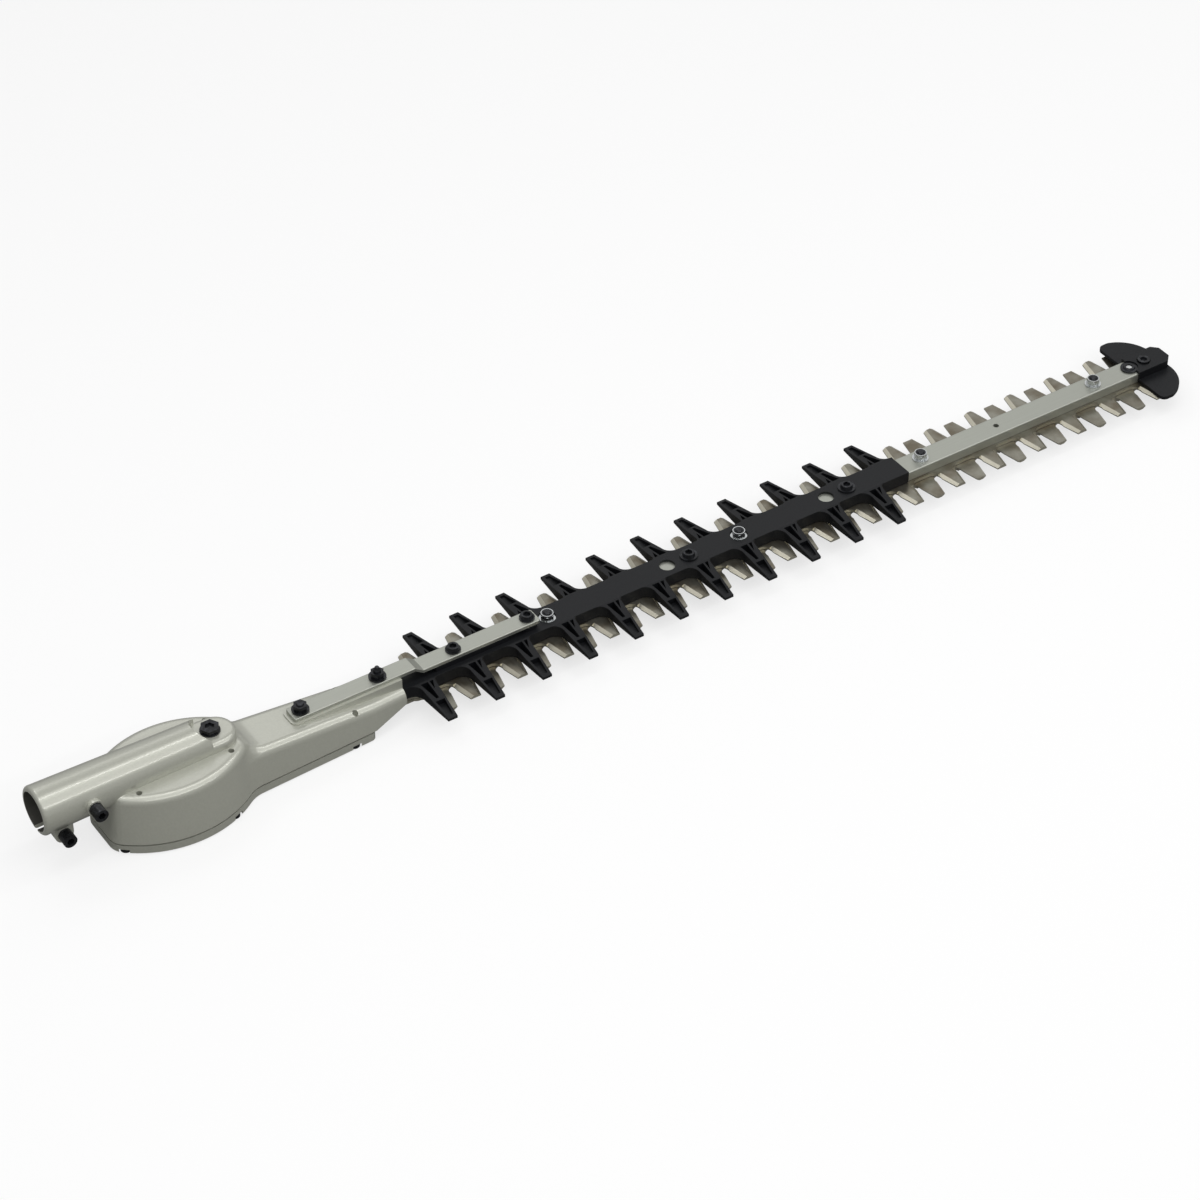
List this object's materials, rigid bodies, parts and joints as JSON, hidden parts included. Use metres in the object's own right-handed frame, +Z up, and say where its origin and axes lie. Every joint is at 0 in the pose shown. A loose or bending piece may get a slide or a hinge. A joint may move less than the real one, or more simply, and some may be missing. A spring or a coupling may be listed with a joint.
{
  "type": "hedge trimmer head",
  "caption": "Double-sided hedge trimmer head for a pole tool: gear case with a clamped pole socket, guide bar, two sliding toothed blades, tooth guard and tip guard.",
  "frame": {"origin": "centre of the pole socket's mouth", "axes": "+X along the guide bar to the tip, +Y to the far side of the picture, +Z up, away from the blades"},
  "size_m": [0.877, 0.084, 0.0583],
  "materials": {
    "silver_paint": "semi-gloss silver-grey paint",
    "gasket_fibre": "dark gasket fibre",
    "black_oxide": "black oxide, satin",
    "bar_aluminium": "satin silver",
    "guard_plastic": "black, slightly blue, satin",
    "blade_steel": "ground warm grey steel",
    "zinc_steel": "bright zinc",
    "black_nylon": "matt black",
    "bearing_steel": "machined steel"
  },
  "bodies": {
    "head": {"gear_case": "silver_paint", "case_cover": "silver_paint", "case_gasket": "gasket_fibre", "cover_screws": "black_oxide", "pole_clamp_screw": "black_oxide", "pole_locating_screw": "black_oxide", "filler_plug": "black_oxide", "support_plate": "bar_aluminium", "plate_studs": "black_oxide", "plate_nuts": "black_oxide", "plate_screws": "black_oxide", "guide_bar": "bar_aluminium", "blade_guard": "guard_plastic", "guard_screws": "black_oxide", "blade_bolts": "black_oxide", "blade_bushes": "bearing_steel", "blade_washers": "zinc_steel", "blade_nuts": "zinc_steel", "nut_inserts": "black_nylon", "nut_washers": "zinc_steel", "tip_guard": "guard_plastic", "tip_screws": "black_oxide", "pinion_bearings": "bearing_steel", "pinion_circlip": "bearing_steel", "upper_crank_bearing": "bearing_steel", "lower_crank_bearing": "bearing_steel"},
    "crank": {"crankshaft": "bearing_steel", "crank_gear": "bearing_steel"},
    "pinion": {"drive_pinion": "bearing_steel"},
    "upper_cutter": {"upper_blade": "blade_steel"},
    "lower_cutter": {"lower_blade": "blade_steel"}
  },
  "joints": [
    {"name": "crank_turn", "type": "hinge", "parent": "head", "child": "crank", "pos_m": [0.089, 0, -0.0311], "axis": [0, 0, 1], "range_deg": [-90, 90]},
    {"name": "pinion_turn", "type": "hinge", "parent": "head", "child": "pinion", "pos_m": [0.06, 0, 0], "axis": [1, 0, 0], "range_deg": [-258, 258]},
    {"name": "upper_blade_slide", "type": "slide", "parent": "head", "child": "upper_cutter", "axis": [1, 0, 0], "range_m": [-0.00876, 0.00876]},
    {"name": "lower_blade_slide", "type": "slide", "parent": "head", "child": "lower_cutter", "axis": [1, 0, 0], "range_m": [-0.00876, 0.00876]}
  ],
  "couplings": [
    {"joint": "pinion_turn", "follows": "crank_turn", "ratio": -2.8571},
    {"joint": "upper_blade_slide", "follows": "crank_turn", "m_per_rad": -0.0055704},
    {"joint": "lower_blade_slide", "follows": "crank_turn", "m_per_rad": 0.0055704}
  ]
}
